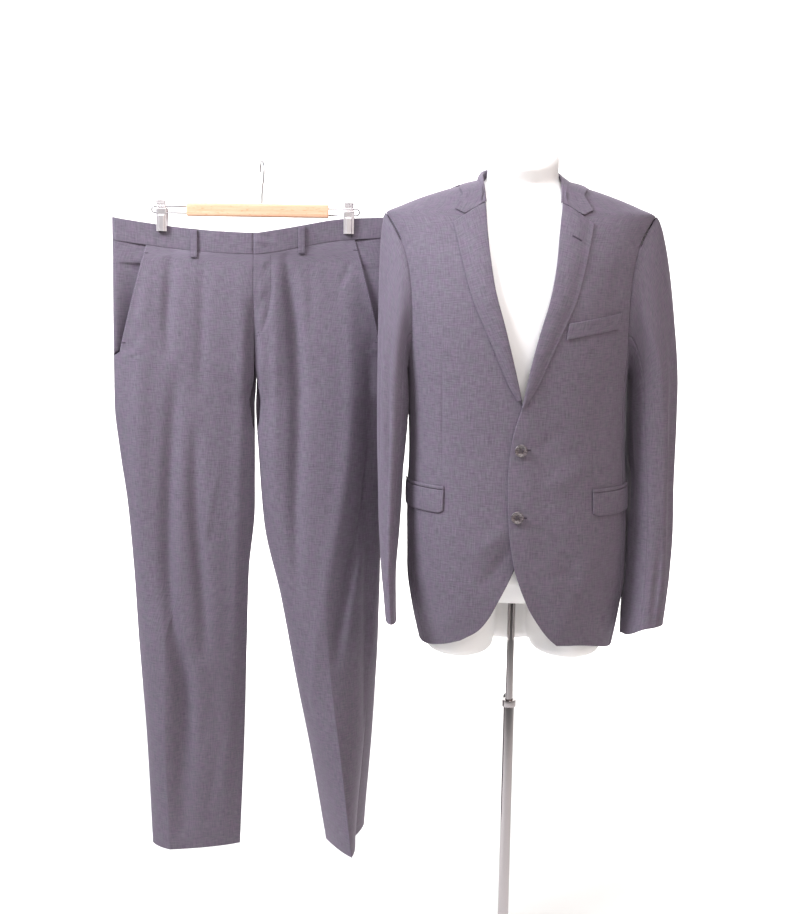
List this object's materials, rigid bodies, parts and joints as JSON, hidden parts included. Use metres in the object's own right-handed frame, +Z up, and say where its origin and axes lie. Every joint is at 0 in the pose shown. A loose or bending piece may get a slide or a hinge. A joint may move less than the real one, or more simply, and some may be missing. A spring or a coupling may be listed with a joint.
{
  "type": "two-piece suit on a dress form and a clip hanger",
  "caption": "Notch-lapel suit jacket buttoned on a limbless dress form with a telescopic pole, its flat-front trousers beside it on a clip hanger.",
  "frame": {"origin": "the middle of the round base's underside", "axes": "+Z up along the pole, -Y out of the jacket's front, +X to the wearer's left"},
  "size_m": [0.9332, 0.3941, 1.547],
  "materials": {
    "worsted_wool": "fine plain-weave worsted, matte",
    "white_plastic": "smooth satin white",
    "chrome": "polished chrome plate",
    "plated_steel": "bright nickel plate",
    "beech": "clear satin lacquer",
    "grey_rubber": "matte",
    "horn": "semi-gloss horn-look resin",
    "black_knob": "satin moulded"
  },
  "bodies": {
    "stand": {"belt_loop_back_centre": "worsted_wool", "belt_loop_back_left": "worsted_wool", "belt_loop_back_right": "worsted_wool", "belt_loop_front_left": "worsted_wool", "belt_loop_front_right": "worsted_wool", "clamp_screw": "black_knob", "clip_left_back": "plated_steel", "clip_left_cradle": "plated_steel", "clip_left_foot_back": "grey_rubber", "clip_left_foot_front": "grey_rubber", "clip_left_front": "plated_steel", "clip_right_back": "plated_steel", "clip_right_cradle": "plated_steel", "clip_right_foot_back": "grey_rubber", "clip_right_foot_front": "grey_rubber", "clip_right_front": "plated_steel", "hanger_bar": "beech", "hanger_hook": "plated_steel", "hanger_wire_left": "plated_steel", "hanger_wire_right": "plated_steel", "pocket_facing_left": "worsted_wool", "pocket_facing_right": "worsted_wool", "pole_clamp": "chrome", "pole_outer": "chrome", "stand_base": "chrome", "trouser_back_left": "worsted_wool", "trouser_back_right": "worsted_wool", "trouser_front_left": "worsted_wool", "trouser_front_right": "worsted_wool", "waistband_left": "worsted_wool", "waistband_right": "worsted_wool"},
    "figure": {"breast_welt": "worsted_wool", "button_lower": "horn", "button_upper": "horn", "collar": "worsted_wool", "dress_form": "white_plastic", "jacket_back_left": "worsted_wool", "jacket_back_right": "worsted_wool", "jacket_front_left": "worsted_wool", "jacket_front_right": "worsted_wool", "jacket_side_left": "worsted_wool", "jacket_side_right": "worsted_wool", "lapel_left": "worsted_wool", "lapel_right": "worsted_wool", "pocket_flap_left": "worsted_wool", "pocket_flap_right": "worsted_wool", "pocket_jet_left": "worsted_wool", "pocket_jet_right": "worsted_wool", "pole_inner": "chrome", "sleeve_top_left": "worsted_wool", "sleeve_top_right": "worsted_wool", "sleeve_under_left": "worsted_wool", "sleeve_under_right": "worsted_wool"}
  },
  "joints": [
    {"name": "pole_height", "type": "slide", "parent": "stand", "child": "figure", "axis": [0, 0, 1], "range_m": [-0.09, 0.15]}
  ]
}
